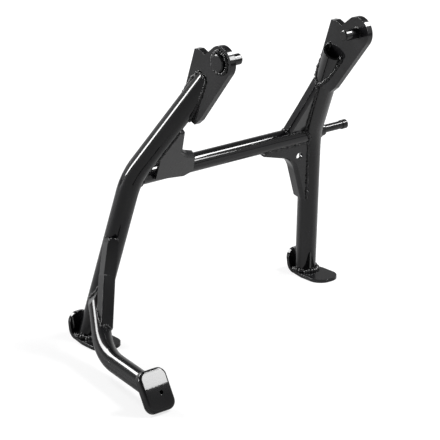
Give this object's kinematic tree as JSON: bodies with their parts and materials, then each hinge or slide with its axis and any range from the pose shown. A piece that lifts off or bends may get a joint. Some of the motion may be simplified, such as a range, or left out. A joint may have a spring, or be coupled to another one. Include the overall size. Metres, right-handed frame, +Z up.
{
  "type": "motorcycle centre stand",
  "caption": "Welded tubular centre stand with bent legs, a cross tube, gussets, pivot plates with pins, foot plates, a spring peg and a foot lever with a pedal.",
  "frame": {"origin": "on the ground under the left foot plate, 10 mm behind the point where the left leg's axis meets the ground", "axes": "+Z up, +Y towards the front of the motorcycle, +X towards its right side"},
  "size_m": [0.4345, 0.2373, 0.3586],
  "materials": {
    "black_coat": "gloss"
  },
  "bodies": {
    "root": {"left_leg_tube": "black_coat", "right_leg_tube": "black_coat", "cross_tube": "black_coat", "left_pivot_plate": "black_coat", "right_pivot_plate": "black_coat", "left_pivot_pin": "black_coat", "right_pivot_pin": "black_coat", "left_pin_weld": "black_coat", "right_pin_weld": "black_coat", "left_gusset": "black_coat", "right_upper_gusset": "black_coat", "right_lower_gusset": "black_coat", "spring_peg": "black_coat", "spring_peg_boss": "black_coat", "lever_tube": "black_coat", "lever_pedal": "black_coat", "lever_channel": "black_coat", "left_foot_plate": "black_coat", "right_foot_plate": "black_coat", "left_foot_weld": "black_coat", "right_foot_weld": "black_coat"}
  },
  "joints": []
}
